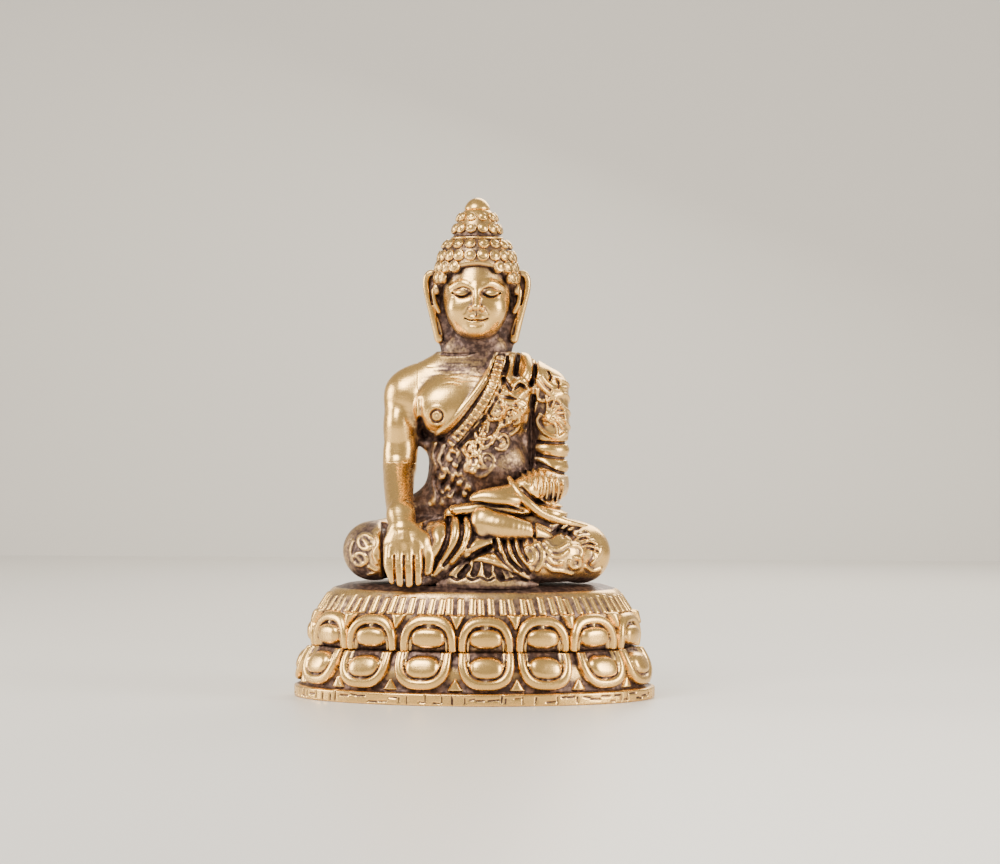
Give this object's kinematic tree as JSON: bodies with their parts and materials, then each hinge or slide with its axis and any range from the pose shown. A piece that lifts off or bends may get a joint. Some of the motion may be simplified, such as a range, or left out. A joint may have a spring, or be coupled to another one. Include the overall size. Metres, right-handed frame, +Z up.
{
  "type": "buddha statue",
  "caption": "Small cast brass Buddha seated cross-legged on an oval double lotus pedestal, the right hand reaching down to touch the earth.",
  "frame": {"origin": "on the surface that the statue stands on, under the middle of the pedestal", "axes": "+Z up, -Y the way the figure faces, +X towards the figure's left hand"},
  "size_m": [0.0508, 0.0346, 0.07],
  "materials": {
    "brass": "worn bright on the high places, with dark purple-brown patina in the hollows",
    "dark_brass": "antique patina over rough casting, bright only on the tips",
    "pins": "dull, darkened with age"
  },
  "bodies": {
    "root": {"pedestal_lower": "brass", "pedestal_upper": "brass", "legs": "brass", "seat_pin_right": "pins", "seat_pin_left": "pins", "robe_hem": "dark_brass", "right_foot": "brass", "torso": "brass", "robe_border": "brass", "right_upper_arm": "brass", "right_forearm": "brass", "left_sleeve": "brass", "left_hand": "brass", "head": "brass", "hair_cap": "dark_brass", "ushnisha": "brass", "finial": "brass"}
  },
  "joints": []
}
